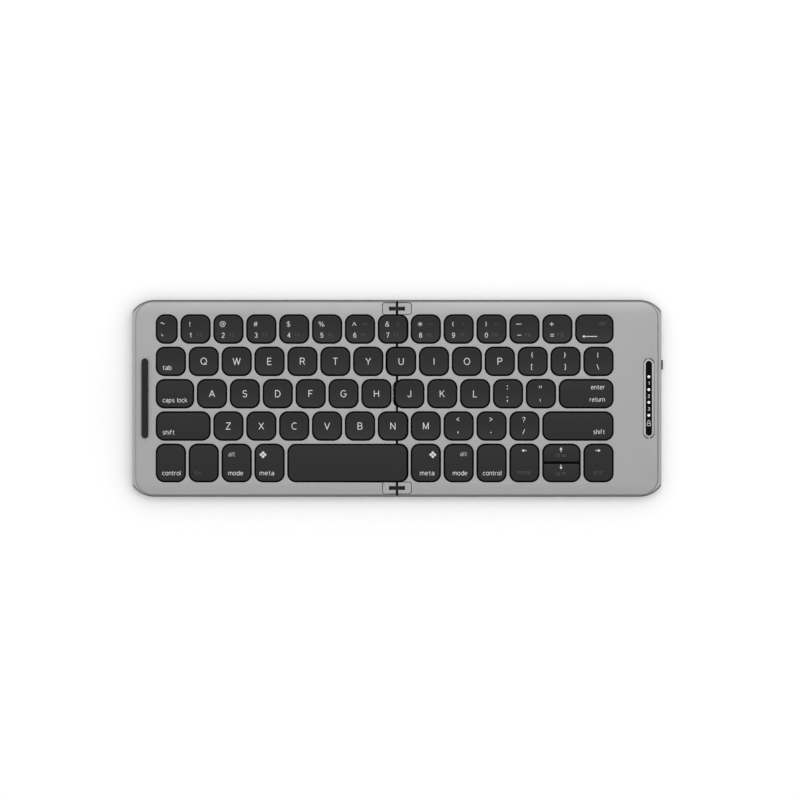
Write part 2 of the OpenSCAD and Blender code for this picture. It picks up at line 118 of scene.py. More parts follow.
def bevelEdges(obj, test, width, segments=1):  # in edit mode, bevels the edges that pass the test
    bm = bmesh.from_edit_mesh(obj.data)
    for e in bm.edges:
        e.select_set(test(e))
    bmesh.update_edit_mesh(obj.data)
    bpy.ops.mesh.bevel(offset=width, segments=segments, affect="EDGES")


def cutAcross(place, along):  # in edit mode, adds a line of edges where a plane meets the mesh
    pickAll()
    bpy.ops.mesh.bisect(plane_co=place, plane_no=along)


def setFinish(obj, *names):  # the first finish goes on every face
    obj.data.materials.clear()
    for name in names:
        obj.data.materials.append(finishes[name])
    for p in obj.data.polygons:
        p.material_index = 0


def placeMesh(obj):  # the place goes into the mesh, as in the frame's own nodes
    makeActive(obj)
    bpy.ops.object.transform_apply(location=True, rotation=True, scale=True)


def makeBlock(place, size):
    bpy.ops.mesh.primitive_cube_add(size=1, location=place, scale=size)
    block = bpy.context.object
    placeMesh(block)
    return block


def isUpright(e):  # an edge of a plain block
    return abs(e.verts[0].co.z - e.verts[1].co.z) > near


def offer(obj, body):  # gives a piece the body that it moves with
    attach(obj, body)


def smooth(obj, degrees):
    makeActive(obj)
    bpy.ops.object.shade_smooth_by_angle(angle=math.radians(degrees))


def applyModifiers(obj):
    makeActive(obj)
    for m in list(obj.modifiers):
        bpy.ops.object.modifier_apply(modifier=m.name)


def addObject(name, data):
    obj = bpy.data.objects.new(name, data)
    bpy.context.scene.collection.objects.link(obj)
    return obj


def weldedCopy(node, name):  # a new mesh on the lines of a frame node, with its triangles merged
    obj = addObject(name, cadNodes[node].data.copy())
    startEdit(obj)
    pickAll()
    bpy.ops.mesh.remove_doubles(threshold=weldReach)
    bpy.ops.mesh.dissolve_limited(angle_limit=math.radians(flatAngle))
    endEdit()
    return obj


def joinAll(objs, name):
    deselectAll()
    for o in objs:
        o.select_set(True)
    bpy.context.view_layer.objects.active = objs[0]
    if len(objs) > 1:
        bpy.ops.object.join()
    joined = bpy.context.view_layer.objects.active
    joined.name = name
    joined.data.name = name
    return joined


# camera, stage and light
camera = {"lens": 400, "sensor": 36, "frameWidth": 462.7 * mm, "x": 1.75 * mm, "y": -0.95 * mm, "clipEnd": 100}
bpy.ops.object.camera_add(
    location=(camera["x"], camera["y"], camera["lens"] / camera["sensor"] * camera["frameWidth"]),
    rotation=(0, 0, 0))
cameraObject = bpy.context.object
cameraObject.data.lens = camera["lens"]
cameraObject.data.sensor_width = camera["sensor"]
cameraObject.data.clip_end = camera["clipEnd"]
bpy.context.scene.camera = cameraObject
bpy.context.scene.view_settings.view_transform = "Standard"

# an even dome gives the broad soft shadow, with more light from the right and the rear
stage = {"floorSize": 12, "floorTone": 0.90, "floorRough": 0.9, "domeTone": 1.045, "lean": (0.45, 0.28),
         "cardTone": 0.02, "cardRough": 0.5}


def greater(nodes, links, a, b):
    node = nodes.new("ShaderNodeMath")
    node.operation = "MAXIMUM"
    links.new(a, node.inputs[0])
    links.new(b, node.inputs[1])
    return node.outputs[0]


def backgroundRays(nodes, links):  # 1 for camera, glossy and transmission rays
    rays = nodes.new("ShaderNodeLightPath").outputs
    seen = greater(nodes, links, rays["Is Camera Ray"], rays["Is Glossy Ray"])
    return greater(nodes, links, seen, rays["Is Transmission Ray"])


def mattMaterial(name, tone, roughness):
    mat = bpy.data.materials.new(name)
    mat.use_nodes = True
    shader = mat.node_tree.nodes["Principled BSDF"]
    shader.inputs["Base Color"].default_value = (tone, tone, tone, 1)
    shader.inputs["Roughness"].default_value = roughness
    shader.inputs["Specular IOR Level"].default_value = 0.0
    return mat


bpy.ops.mesh.primitive_plane_add(size=stage["floorSize"], location=(0, 0, 0))
floor = bpy.context.object
floor.name = "floor"
floor.data.materials.append(mattMaterial("paleFloor", stage["floorTone"], stage["floorRough"]))

world = bpy.data.worlds.new("studio")
bpy.context.scene.world = world
world.use_nodes = True
worldNodes, worldLinks = world.node_tree.nodes, world.node_tree.links
skyPlace = worldNodes.new("ShaderNodeTexCoord")
skyLean = worldNodes.new("ShaderNodeVectorMath")
skyLean.operation = "DOT_PRODUCT"
skyLean.inputs[1].default_value = (*stage["lean"], 0)
skyTone = worldNodes.new("ShaderNodeMath")
skyTone.operation = "MULTIPLY_ADD"
skyTone.inputs[1].default_value = stage["domeTone"]
skyTone.inputs[2].default_value = stage["domeTone"]
worldLinks.new(skyPlace.outputs["Generated"], skyLean.inputs[0])
worldLinks.new(skyLean.outputs["Value"], skyTone.inputs[0])
worldMix = worldNodes.new("ShaderNodeMix")
worldMix.data_type = "RGBA"
worldLinks.new(skyTone.outputs[0], worldMix.inputs["A"])
worldMix.inputs["B"].default_value = (1, 1, 1, 1)
worldLinks.new(backgroundRays(worldNodes, worldLinks), worldMix.inputs["Factor"])
worldLinks.new(worldMix.outputs["Result"], worldNodes["Background"].inputs["Color"])

softbox = {"x": 0.05, "y": 0.56, "z": 1.4, "size": 0.5, "power": 2.4}
bpy.ops.object.light_add(type="AREA", location=(softbox["x"], softbox["y"], softbox["z"]))
lamp = bpy.context.object
lamp.name = "softbox"
lamp.data.shape = "SQUARE"
lamp.data.size = softbox["size"]
lamp.data.energy = softbox["power"]
lamp.rotation_euler = (-lamp.location).to_track_quat("-Z", "Y").to_euler()
lamp.visible_camera = False

# dark cards beside the object, as a photographer stands them to draw metal edges: place, width and height, turn
cards = {"front": ((0, -0.55, 0.30), (1.6, 0.45), 0), "rear": ((0, 0.62, 0.26), (1.6, 0.34), 0),
         "right": ((0.75, 0, 0.30), (1.0, 0.40), 90)}
cardMaterial = mattMaterial("darkCard", stage["cardTone"], stage["cardRough"])
for side, (place, (wide, high), turn) in cards.items():
    bpy.ops.mesh.primitive_plane_add(size=1, location=place, rotation=(math.radians(90), 0, math.radians(turn)))
    card = bpy.context.object
    card.name = "card_" + side
    card.scale = (wide, high, 1)
    card.data.materials.append(cardMaterial)
    card.visible_camera = False
    card.visible_diffuse = False
    card.visible_shadow = False
print("camera, floor and light ready")


# finishes
def newGroup(name, inputs, outputs):
    group = bpy.data.node_groups.new(name, "ShaderNodeTree")
    for label, kind, value in inputs:
        socket = group.interface.new_socket(label, in_out="INPUT", socket_type="NodeSocket" + kind)
        socket.default_value = value
    for label, kind in outputs:
        group.interface.new_socket(label, in_out="OUTPUT", socket_type="NodeSocket" + kind)
    return group, group.nodes.new("NodeGroupInput"), group.nodes.new("NodeGroupOutput")


def makeGrainGroup():  # fine surface grain: a height, and a mask of its peaks
    group, source, result = newGroup(
        "fineGrain", [("Scale", "Float", 3000.0), ("Stretch", "Vector", (1, 1, 1))],
        [("Height", "Float"), ("Mask", "Float")])
    nodes, links = group.nodes, group.links
    place = nodes.new("ShaderNodeTexCoord")
    stretch = nodes.new("ShaderNodeVectorMath")
    stretch.operation = "MULTIPLY"
    noise = nodes.new("ShaderNodeTexNoise")
    noise.inputs["Detail"].default_value = 3
    noise.inputs["Roughness"].default_value = 0.6
    spread = nodes.new("ShaderNodeMapRange")
    spread.inputs["From Min"].default_value = 0.35
    spread.inputs["From Max"].default_value = 0.65
    links.new(place.outputs["Object"], stretch.inputs[0])
    links.new(source.outputs["Stretch"], stretch.inputs[1])
    links.new(stretch.outputs[0], noise.inputs["Vector"])
    links.new(source.outputs["Scale"], noise.inputs["Scale"])
    links.new(noise.outputs["Fac"], spread.inputs["Value"])
    links.new(noise.outputs["Fac"], result.inputs["Height"])
    links.new(spread.outputs["Result"], result.inputs["Mask"])
    return group


def makeHandlingGroup():  # broad soft marks that handling leaves
    group, source, result = newGroup(
        "handlingMarks", [("Scale", "Float", 30.0), ("Low", "Float", 0.9), ("High", "Float", 1.1)],
        [("Factor", "Float")])
    nodes, links = group.nodes, group.links
    place = nodes.new("ShaderNodeTexCoord")
    noise = nodes.new("ShaderNodeTexNoise")
    noise.inputs["Detail"].default_value = 4
    noise.inputs["Distortion"].default_value = 0.6
    spread = nodes.new("ShaderNodeMapRange")
    spread.inputs["From Min"].default_value = 0.3
    spread.inputs["From Max"].default_value = 0.7
    links.new(place.outputs["Object"], noise.inputs["Vector"])
    links.new(source.outputs["Scale"], noise.inputs["Scale"])
    links.new(noise.outputs["Fac"], spread.inputs["Value"])
    links.new(source.outputs["Low"], spread.inputs["To Min"])
    links.new(source.outputs["High"], spread.inputs["To Max"])
    links.new(spread.outputs["Result"], result.inputs["Factor"])
    return group


grainGroup = makeGrainGroup()
handlingGroup = makeHandlingGroup()


def makeFinish(name, colour, roughness, metallic, grain, depth, tint, marks, wear, stretch=(1, 1, 1), specular=0.5):
    mat = bpy.data.materials.new(name)
    mat.use_nodes = True
    nodes, links = mat.node_tree.nodes, mat.node_tree.links
    shader = nodes["Principled BSDF"]
    shader.inputs["Metallic"].default_value = metallic
    shader.inputs["Specular IOR Level"].default_value = specular
    grains = nodes.new("ShaderNodeGroup")
    grains.node_tree = grainGroup
    grains.inputs["Scale"].default_value = grain
    grains.inputs["Stretch"].default_value = stretch
    handling = nodes.new("ShaderNodeGroup")
    handling.node_tree = handlingGroup
    handling.inputs["Scale"].default_value = marks
    handling.inputs["Low"].default_value = roughness * (1 - wear)
    handling.inputs["High"].default_value = roughness * (1 + wear)
    links.new(handling.outputs["Factor"], shader.inputs["Roughness"])
    blend = nodes.new("ShaderNodeMix")
    blend.data_type = "RGBA"
    blend.inputs["A"].default_value = tuple(c * (1 - tint) for c in colour) + (1,)
    blend.inputs["B"].default_value = tuple(min(1, c * (1 + tint)) for c in colour) + (1,)
    links.new(grains.outputs["Mask"], blend.inputs["Factor"])
    links.new(blend.outputs["Result"], shader.inputs["Base Color"])
    bump = nodes.new("ShaderNodeBump")
    bump.inputs["Strength"].default_value = 1.0
    bump.inputs["Distance"].default_value = depth * mm
    links.new(grains.outputs["Height"], bump.inputs["Height"])
    links.new(bump.outputs["Normal"], shader.inputs["Normal"])
    return mat


evenGrain = (1, 1, 1)
# colour, roughness, metal; grain's scale, depth in mm and tint; marks' scale and strength; grain's stretch; specular
finishTable = {
    "anodisedCase": ((0.35, 0.35, 0.355), 0.42, 1.0, 4200, 0.012, 0.05, 22, 0.07),
    "anodisedDeck": ((0.348, 0.348, 0.351), 0.42, 1.0, 4200, 0.012, 0.05, 22, 0.07),
    "ringFace": ((0.43, 0.43, 0.433), 0.42, 1.0, 4200, 0.012, 0.05, 22, 0.07),
    # a darker finish for the brows and grooves: painted shade for the dark reflection along the rims
    "caseEdge": ((0.19, 0.19, 0.193), 0.45, 1.0, 4200, 0.008, 0.05, 22, 0.07),
    "satinBracket": ((0.35, 0.35, 0.355), 0.34, 1.0, 2600, 0.006, 0.05, 60, 0.1, (1, 0.06, 1)),
    "keycapPlastic": ((0.0105, 0.0105, 0.011), 0.36, 0.0, 5200, 0.008, 0.15, 45, 0.06, evenGrain, 0.24),
    # a painted highlight for the rolled edge of the caps and painted shade for their moulded sides
    "keycapEdge": ((0.017, 0.017, 0.0175), 0.45, 0.0, 5200, 0.008, 0.15, 45, 0.06, evenGrain, 0.28),
    "keycapSide": ((0.0040, 0.0040, 0.0042), 0.5, 0.0, 5200, 0.008, 0.15, 45, 0.06, evenGrain, 0.06),
    "legendInk": ((0.60, 0.60, 0.60), 0.5, 0.0, 5200, 0.004, 0.05, 45, 0.05, evenGrain, 0.2),
    "greyInk": ((0.40, 0.40, 0.40), 0.5, 0.0, 5200, 0.004, 0.05, 45, 0.05, evenGrain, 0.2),
    "dimInk": ((0.060, 0.060, 0.061), 0.5, 0.0, 5200, 0.004, 0.05, 45, 0.05, evenGrain, 0.2),
    "springSteel": ((0.30, 0.31, 0.32), 0.35, 1.0, 2400, 0.006, 0.08, 50, 0.15, (0.05, 1, 1)),
    # the key plate is black steel, kept near black also as painted shade in the gaps round the caps
    "blackSteelAndShade": ((0.020, 0.020, 0.021), 0.42, 0.2, 3000, 0.005, 0.1, 60, 0.15),
    "gearSteel": ((0.045, 0.045, 0.047), 0.32, 1.0, 3000, 0.005, 0.1, 60, 0.15),
    # the membrane is near black as painted shade in the gaps round the caps
    "blackFilm": ((0.006, 0.006, 0.0065), 0.7, 0.0, 1500, 0.004, 0.1, 40, 0.1, evenGrain, 0.2),
    "liftPlastic": ((0.62, 0.62, 0.60), 0.45, 0.0, 3000, 0.006, 0.03, 50, 0.08),
    "domeRubber": ((0.48, 0.51, 0.53), 0.4, 0.0, 2000, 0.004, 0.04, 60, 0.1),
    "footRubber": ((0.014, 0.014, 0.0145), 0.7, 0.0, 3600, 0.020, 0.2, 40, 0.08, evenGrain, 0.2),
    "platedMagnet": ((0.55, 0.56, 0.58), 0.2, 1.0, 1500, 0.003, 0.05, 80, 0.15),
    "cellFoil": ((0.52, 0.53, 0.55), 0.3, 0.9, 700, 0.05, 0.06, 70, 0.2),
    "boardGreen": ((0.014, 0.085, 0.040), 0.35, 0.0, 1200, 0.010, 0.25, 60, 0.1),
    "socketSteel": ((0.46, 0.47, 0.48), 0.25, 1.0, 2600, 0.004, 0.06, 60, 0.15, (0.08, 1, 1)),
    "smokedGloss": ((0.002, 0.002, 0.0024), 0.12, 0.0, 900, 0.0008, 0.1, 25, 0.2, evenGrain, 0.04),
    "knobPlastic": ((0.050, 0.050, 0.052), 0.45, 0.0, 4200, 0.010, 0.15, 45, 0.06, evenGrain, 0.4),
    "lampWhite": ((0.80, 0.80, 0.78), 0.35, 0.0, 1500, 0.002, 0.03, 60, 0.1),
    "flexFilm": ((0.016, 0.015, 0.014), 0.35, 0.0, 900, 0.004, 0.2, 60, 0.1, (0.02, 5, 1)),
    # near black as painted shade: in the split, inside the trays, under the caps, in the slots and in the notches
    "innerBlack": ((0.002, 0.002, 0.0022), 0.7, 0.0, 1500, 0.004, 0.1, 40, 0.1, evenGrain, 0.03),
}
finishes = {name: makeFinish(name, *values) for name, values in finishTable.items()}
print("finishes ready")


# frame nodes that stay
def dressNode(node, finish, bevel=0.0, segments=2):
    obj = cadNodes[node]
    setFinish(obj, finish)
    weld = obj.modifiers.new("weld", "WELD")
    weld.merge_threshold = weldReach
    if bevel:
        rounding = obj.modifiers.new("edges", "BEVEL")
        rounding.width = bevel * mm
        rounding.segments = segments
        rounding.limit_method = "ANGLE"
        rounding.angle_limit = math.radians(sharpAngle)
    even = obj.modifiers.new("evenShade", "WEIGHTED_NORMAL")
    even.keep_sharp = True
    return obj


for side in sides:
    # plate and membrane near black: painted shade in the gaps round the caps
    dressNode(side + "_key_plate", "blackSteelAndShade")
    dressNode(side + "_membrane", "blackFilm")
    dressNode(side + "_geared_pins", "gearSteel", 0.03, 1)
    dressNode(side + "_idler_gears", "gearSteel", 0.03, 1)
    dressNode(side + "_feet", "footRubber", 0.25)
    dressNode(side + "_screws", "springSteel", 0.06)
    dressNode(side + "_magnets", "platedMagnet", 0.15)
hingeLinks = dressNode("hinge_links", "gearSteel", 0.07)
hingeLinks.data.materials.append(finishes["innerBlack"])
for p in hingeLinks.data.polygons:  # the round ends get the black finish, painted shade for the dark of the slot
    if abs(p.normal.x) > slanted:
        p.material_index = 1
dressNode("bumper_strip", "footRubber", 0.5, 3)
dressNode("charging_socket", "socketSteel", 0.06)
dressNode("indicator_window", "smokedGloss", 0.12)
dressNode("power_switch", "knobPlastic", 0.18)
dressNode("battery", "cellFoil", 0.5, 3)
dressNode("main_board", "boardGreen", 0.05, 1)
print("frame nodes dressed")


# decks
deckShape = {"crown": 0.34 * mm, "crownRun": 7.0 * mm, "crownCuts": 6, "edge": 0.24 * mm, "edgeSegments": 2,
             "rightGroove": 0.42 * mm, "ringWider": 0.25 * mm, "ringGroove": 0.4 * mm, "ringStep": 0.24 * mm,
             "ringReach": 0.5 * mm, "grooveFrom": -0.05 * mm, "grooveTo": 0.8 * mm, "sharp": 40}
windowLow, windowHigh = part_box("indicator_window")


def finishShell(obj, names, side, node):
    smooth(obj, shadeAngle)
    even = obj.modifiers.new("evenShade", "WEIGHTED_NORMAL")
    even.keep_sharp = True
    applyModifiers(obj)
    setFinish(obj, *names)
    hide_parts(node)
    offer(obj, side + "_half")


def fromRing(place):  # the direction from the window's middle line, and the distance from its recess's edge
    half = (windowHigh.x - windowLow.x) / 2
    along = max(half - windowHigh.y, min(windowHigh.y - half, place.y))
    away = Vector((place.x - windowLow.x - half, place.y - along, 0))
    return away, away.length - half


def makeDeck(side):
    obj = weldedCopy(side + "_deck", side + "_deck_shell")
    low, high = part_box(side + "_deck")
    top = high.z
    if side == "right":  # the ring round the window is a little wider than the recess
        for v in obj.data.vertices:
            away, past = fromRing(v.co)
            if abs(past) < near and v.co.z > windowHigh.z - near:
                v.co.x += away.normalized().x * deckShape["ringWider"]
    startEdit(obj, "EDGE")

    def topEdge(e):
        if any(abs(v.co.z - top) > near for v in e.verts) or len(e.link_faces) != 2:
            return False
        return e.calc_face_angle(0) > math.radians(deckShape["sharp"])

    def onRightEnd(e):  # the straight right end, where a groove runs between deck and rim
        return side == "right" and all(v.co.x > high.x - near for v in e.verts)

    def onRing(e):
        return side == "right" and all(abs(fromRing(v.co)[1]) < deckShape["ringWider"] + near for v in e.verts)

    bevelEdges(obj, lambda e: topEdge(e) and not onRightEnd(e) and not onRing(e), deckShape["edge"],
               deckShape["edgeSegments"])
    if side == "right":
        bevelEdges(obj, lambda e: topEdge(e) and onRightEnd(e), deckShape["rightGroove"])
        bevelEdges(obj, lambda e: topEdge(e) and onRing(e), deckShape["ringGroove"])
    pickAll()
    bpy.ops.mesh.quads_convert_to_tris()
    edgeY = high.y
    for k in range(deckShape["crownCuts"]):
        y = edgeY - deckShape["crownRun"] * (k + 0.5) / deckShape["crownCuts"]
        for s in (-1, 1):
            cutAcross((0, s * y, 0), (0, 1, 0))
    endEdit()
    for v in obj.data.vertices:
        run = (abs(v.co.y) - (edgeY - deckShape["crownRun"])) / deckShape["crownRun"]
        if run > 0 and v.co.z > top - 2 * deckShape["edge"]:
            v.co.z -= deckShape["crown"] * run * run
    if side == "right":  # the ring lies nearly flush, inside a groove
        for v in obj.data.vertices:
            if abs(v.co.z - windowHigh.z) < near and fromRing(v.co)[1] < deckShape["ringGroove"]:
                v.co.z = top - deckShape["ringStep"]
    finishShell(obj, ("anodisedDeck", "caseEdge", "innerBlack", "ringFace"), side, side + "_deck")
    groove, black, ring = 1, 2, 3
    for p in obj.data.polygons:  # the split and the underside are black, painted shade
        if p.normal.z < -slanted or abs(p.center.x) < split["x"] and abs(p.normal.x) > slanted:
            p.material_index = black
        if side == "left":
            continue
        past = fromRing(p.center)[1]  # both grooves are darker, painted shade, and the ring a shade lighter
        onEnd = p.center.x > high.x - 2 * deckShape["rightGroove"] and slanted < p.normal.x < level
        inRing = (p.normal.z > level and p.center.z < top - deckShape["ringStep"] / 2
                  and past < deckShape["ringReach"])
        if onEnd or p.normal.z < level and deckShape["grooveFrom"] < past < deckShape["grooveTo"]:
            p.material_index = groove
        elif inRing:
            p.material_index = ring


# bottom covers
coverShape = {"foot": 1.2 * mm, "footSteps": 4, "brow": 0.95 * mm, "browSteps": 3, "groove": 0.42 * mm,
              "endEdge": 0.2 * mm, "endSteps": 2, "endCorner": 2 * mm, "endClear": 20 * mm, "arcR": 15.9 * mm,
              "arcPast": 3.2 * mm, "arcSegments": 24, "innerX": 150.95 * mm, "past": 0.02 * mm, "wall": 0.8 * mm,
              "band": 0.3 * mm, "browReach": 1.01, "browFrom": 0.15, "browTo": 0.99}
split = {"x": 0.9 * mm, "shadeSheetWide": 0.84 * mm, "shadeSheetHigh": 0.3 * mm, "shadeSheetIn": 0.12 * mm, "shadeSheetEdge": 0.04 * mm,
         "shadeSheetInto": 0.02 * mm}


def roundOff(obj, side, radius, steps):  # insets the chosen face in steps that follow a quarter circle
    startEdit(obj, "FACE")
    pickFaces(obj, lambda f: f.normal.z * side > level)
    for k in range(steps):
        a, b = (math.radians(90 * t / steps) for t in (k, k + 1))
        bpy.ops.mesh.inset(thickness=radius * (math.cos(a) - math.cos(b)),
                           depth=radius * (math.sin(b) - math.sin(a)))
    endEdit()


def makeEnvelope(size, place, corner, top, foot):  # a block with round corners and rounded upper and lower edges
    block = makeBlock(place, size)
    startEdit(block, "EDGE")
    bevelEdges(block, isUpright, corner, coverShape["arcSegments"])
    endEdit()
    for v in block.data.vertices:  # the straight wall ends where the rounding starts
        v.co.z += foot[0] if v.co.z < place.z else -top[0]
    roundOff(block, 1, *top)
    roundOff(block, -1, *foot)
    return block


def keepInside(obj, envelope):
    cut = obj.modifiers.new("outline", "BOOLEAN")
    cut.operation = "INTERSECT"
    cut.solver = "EXACT"
    cut.object = envelope
    applyModifiers(obj)
    bpy.data.objects.remove(envelope)


def makeCover(side):
    obj = weldedCopy(side + "_bottom_cover", side + "_cover_shell")
    low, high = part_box(side + "_bottom_cover")
    endX = max(abs(low.x), abs(high.x))
    past = coverShape["past"]
    brow, foot = ((coverShape[n], coverShape[n + "Steps"]) for n in ("brow", "foot"))
    arcEnd = endX + coverShape["arcPast"] + past  # the corner arcs belong to circles that pass the end
    wide, deep, high3 = 2 * arcEnd, high.y - low.y + 2 * past, high.z - low.z + 2 * past
    middle = Vector((0, 0, (low.z + high.z) / 2))
    keepInside(obj, makeEnvelope((wide, deep, high3), middle, coverShape["arcR"] + past, brow, foot))
    keepInside(obj, makeEnvelope((2 * (endX + past), deep + coverShape["endClear"], high3), middle,
                                 coverShape["endCorner"], (coverShape["endEdge"], coverShape["endSteps"]), foot))
    if side == "right":
        startEdit(obj, "EDGE")
        bevelEdges(obj, lambda e: all(abs(v.co.z - high.z) < near and abs(v.co.x - coverShape["innerX"]) < 2 * near
                                      for v in e.verts), coverShape["groove"])
        endEdit()
    finishShell(obj, ("anodisedCase", "caseEdge", "innerBlack"), side, side + "_bottom_cover")
    arcX, arcY = arcEnd - coverShape["arcR"] - past, high.y - coverShape["arcR"]

    def depth(p):  # how far a point lies inside the outline
        x, y = abs(p.x) - arcX, abs(p.y) - arcY
        return min(endX - abs(p.x), coverShape["arcR"] - math.hypot(x, y) if x > 0 and y > 0 else high.y - abs(p.y))

    edge, black, band = 1, 2, coverShape["band"]
    for p in obj.data.polygons:  # the brow and the groove are darker and the inside black, all painted shade
        onBrow = (p.center.z > high.z - coverShape["browReach"] * brow[0] and abs(p.center.x) < endX - band
                  and coverShape["browFrom"] < p.normal.z < coverShape["browTo"])
        if onBrow:
            p.material_index = edge
        elif low.z + band < p.center.z < high.z - band and depth(p.center) > coverShape["wall"]:
            p.material_index = black


# hinge brackets
bracketShape = {"edge": 0.12 * mm, "edgeSegments": 2, "slotPast": 0.3 * mm, "slotReach": 2.4 * mm, "face": 0.5 * mm}


def makeBrackets(side):
    obj = weldedCopy(side + "_hinge_brackets", side + "_bracket_blocks")
    top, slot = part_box(side + "_hinge_brackets")[1].z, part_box("hinge_links")[1]
    startEdit(obj, "EDGE")
    bevelEdges(obj, lambda e: len(e.link_faces) == 2 and e.calc_face_angle(0) > math.radians(sharpAngle)
               and all(v.co.z > top - near for v in e.verts), bracketShape["edge"], bracketShape["edgeSegments"])
    endEdit()
    finishShell(obj, ("satinBracket", "innerBlack"), side, side + "_hinge_brackets")
    for p in obj.data.polygons:  # the split faces, the slot's inside and all below the face are black, painted shade
        onSplit = abs(p.center.x) < split["x"] and abs(p.normal.x) > slanted
        inSlot = (abs(p.center.x) < slot.x + bracketShape["slotPast"] and abs(p.normal.z) < slanted
                  and abs(abs(p.center.y) - slot.y) < bracketShape["slotReach"])
        if onSplit or inSlot or p.center.z < top - bracketShape["face"]:
            p.material_index = 1


# a thin black sheet closes the split from below: painted shade in the split
def makeShadeSheet():
    low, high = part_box("right_bottom_cover")
    shadeSheet = makeBlock((low.x - split["shadeSheetWide"] / 2 + split["shadeSheetInto"], 0, low.z + split["shadeSheetHigh"]),
                     (split["shadeSheetWide"], 2 * (high.y - split["shadeSheetIn"]), split["shadeSheetHigh"]))
    shadeSheet.name = "split_shade_sheet"
    startEdit(shadeSheet, "EDGE")
    bevelEdges(shadeSheet, lambda e: True, split["shadeSheetEdge"])
    endEdit()
    setFinish(shadeSheet, "innerBlack")
    offer(shadeSheet, "right_half")


for side in sides:
    makeDeck(side)
    makeCover(side)
    makeBrackets(side)
makeShadeSheet()
print("decks, covers and brackets made")


# keycaps
capShape = {"corner": 4.35 * mm, "cornerSegments": 10, "innerCorner": 1.2 * mm, "innerSegments": 4,
            "base": 0.5 * mm, "side": [(0.07, 7.50), (0.09, 7.86), (0.13, 8.01), (0.30, 8.10)],  # inset, height
            "cuts": 9, "dish": 0.42 * mm, "crown": -0.24 * mm, "wall": 0.6 * mm, "hollow": 7.1 * mm,
            "skirt": 0.45 * mm, "skirtLow": 0.01 * mm, "skirtHigh": 0.2 * mm, "smooth": 12,
            "edgeFrom": 0.8, "edgeTo": 0.985}
capTop = capShape["side"][-1][1] * mm
capModels = {}


def dishDepth(share, dish):  # how far a top lies under its highest line; share is -1 at the front, 1 at the rear
    k = (min(1.0, max(-1.0, share)) + 1) / 2 * (capShape["cuts"] + 1)
    step = min(int(k), capShape["cuts"])
    ends = [dish * (1 - (2 * t / (capShape["cuts"] + 1) - 1) ** 2) - min(dish, 0) for t in (step, step + 1)]
    return ends[0] + (ends[1] - ends[0]) * (k - step)


def modelCap(size, baseZ, dish, innerSide):  # innerSide is the side in Y where a cap meets its twin, or 0
    cap = makeBlock((0, 0, baseZ + capShape["base"] / 2), (size.x, size.y, capShape["base"]))
    startEdit(cap, "EDGE")
    bevelEdges(cap, lambda e: isUpright(e) and e.verts[0].co.y * innerSide <= 0, capShape["corner"],
               capShape["cornerSegments"])
    if innerSide:
        bevelEdges(cap, lambda e: isUpright(e) and abs(e.verts[0].co.y - innerSide * size.y / 2) < near,
                   capShape["innerCorner"], capShape["innerSegments"])
    bpy.ops.mesh.select_mode(type="FACE")
    z = baseZ + capShape["base"]
    pickFaces(cap, lambda f: f.normal.z > level)
    for inset, nextZ in capShape["side"]:
        bpy.ops.mesh.inset(thickness=inset * mm, depth=nextZ * mm - z)
        z = nextZ * mm
    pickFaces(cap, lambda f: f.normal.z < -level)
    bpy.ops.mesh.inset(thickness=capShape["wall"], depth=0)
    bpy.ops.mesh.extrude_region_move(TRANSFORM_OT_translate={"value": (0, 0, capShape["hollow"] - baseZ)})
    if dish:
        for k in range(1, capShape["cuts"] + 1):
            cutAcross((0, (2 * k / (capShape["cuts"] + 1) - 1) * size.y / 2, 0), (0, 1, 0))
    endEdit()
    for v in cap.data.vertices:
        if v.co.z > capShape["side"][1][1] * mm - near:
            v.co.z -= dishDepth(2 * v.co.y / size.y, dish)
    if innerSide == 0:  # a thin skirt keeps the light out of the gap round the cap; it is black, painted shade in that gap
        rim = addObject("rim", cap.data.copy())
        for v in rim.data.vertices:
            v.co.x += math.copysign(capShape["skirt"], v.co.x)
            v.co.y += math.copysign(capShape["skirt"], v.co.y)
            v.co.z = baseZ + capShape["skirtLow" if v.co.z < baseZ + near else "skirtHigh"]
        cap = joinAll([cap, rim], "cap")
    smooth(cap, capShape["smooth"])
    return cap


def makeCap(name, low, high, dish, innerSide=0):  # one model for each size of cap, and copies of it
    size = high - low
    kind = (round(size.x / near), round(size.y / near), dish, innerSide)
    if kind not in capModels:
        capModels[kind] = modelCap(size, low.z, dish, innerSide)
    cap = addObject(name, capModels[kind].data.copy())
    cap.location = ((low.x + high.x) / 2, (low.y + high.y) / 2, 0)
    placeMesh(cap)
    return cap


def islandBoxes(node):  # the box of each separate solid in a node, from left to right
    bm = bmesh.new()
    bm.from_mesh(cadNodes[node].data)
    bmesh.ops.remove_doubles(bm, verts=bm.verts, dist=weldReach)
    seen, boxes = set(), []
    for start in bm.verts:
        if start in seen:
            continue
        seen.add(start)
        queue, low, high = [start], start.co.copy(), start.co.copy()
        while queue:
            v = queue.pop()
            low = Vector(map(min, low, v.co))
            high = Vector(map(max, high, v.co))
            for e in v.link_edges:
                w = e.other_vert(v)
                if w not in seen:
                    seen.add(w)
                    queue.append(w)
        boxes.append((low, high))
    bm.free()
    return sorted(boxes, key=lambda b: b[0].x)


# legends
legend = {"letter": 4.2 * mm, "digit": 3.0 * mm, "mark": 3.3 * mm, "word": 2.8 * mm, "dim": 2.1 * mm,
          "letterLine": 0.24, "digitLine": 0.20, "markLine": 0.20, "wordLine": 0.165, "fine": 0.78,
          "thick": 0.03 * mm, "gap": 0.65 * mm, "squareEnd": 0.8, "shortest": 1e-4, "arcStep": 20,
          "headLong": 1.35 * mm, "headWide": 1.75 * mm, "stemWide": 0.42 * mm, "lozenge": 0.95 * mm,
          "lozengeOut": 1.15 * mm}


